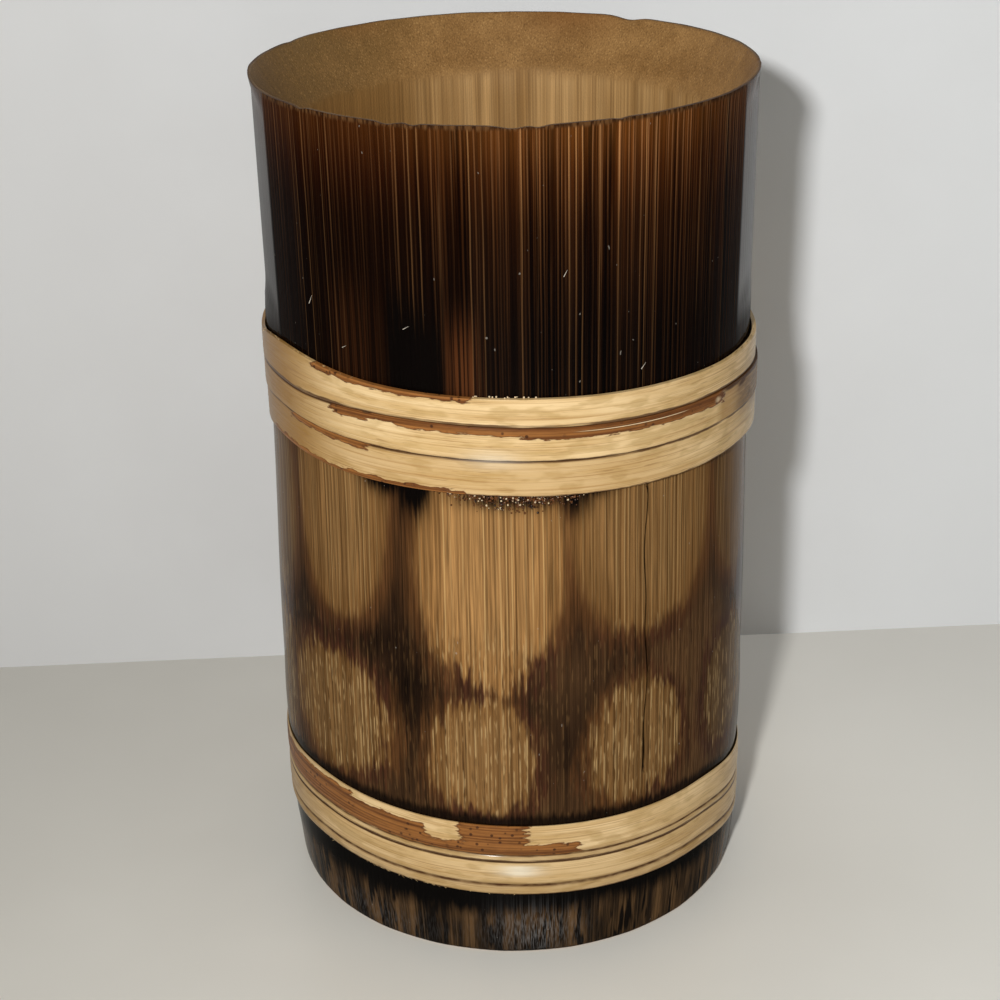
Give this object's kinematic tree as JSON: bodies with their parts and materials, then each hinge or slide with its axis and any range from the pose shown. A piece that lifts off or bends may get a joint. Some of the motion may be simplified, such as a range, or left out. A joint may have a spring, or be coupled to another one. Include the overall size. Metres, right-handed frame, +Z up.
{
  "type": "bamboo cup",
  "caption": "Tall drinking cup made of a bamboo culm section with its grown floor, a wide bevelled mouth, torched spots and wound bands of split cane.",
  "frame": {"origin": "middle of the foot, on the plane that the cup stands on", "axes": "+Z up along the culm's axis towards the mouth, -Y towards the front shown in the picture, +X to the right seen from the front"},
  "size_m": [0.0774, 0.0774, 0.1324],
  "materials": {
    "torched_bamboo": "torched and lacquered, glossy",
    "split_cane": "scraped and lacquered, semi-gloss"
  },
  "bodies": {
    "root": {"bamboo_culm": "torched_bamboo", "upper_cane_winding": "split_cane", "lower_cane_winding": "split_cane"}
  },
  "joints": []
}
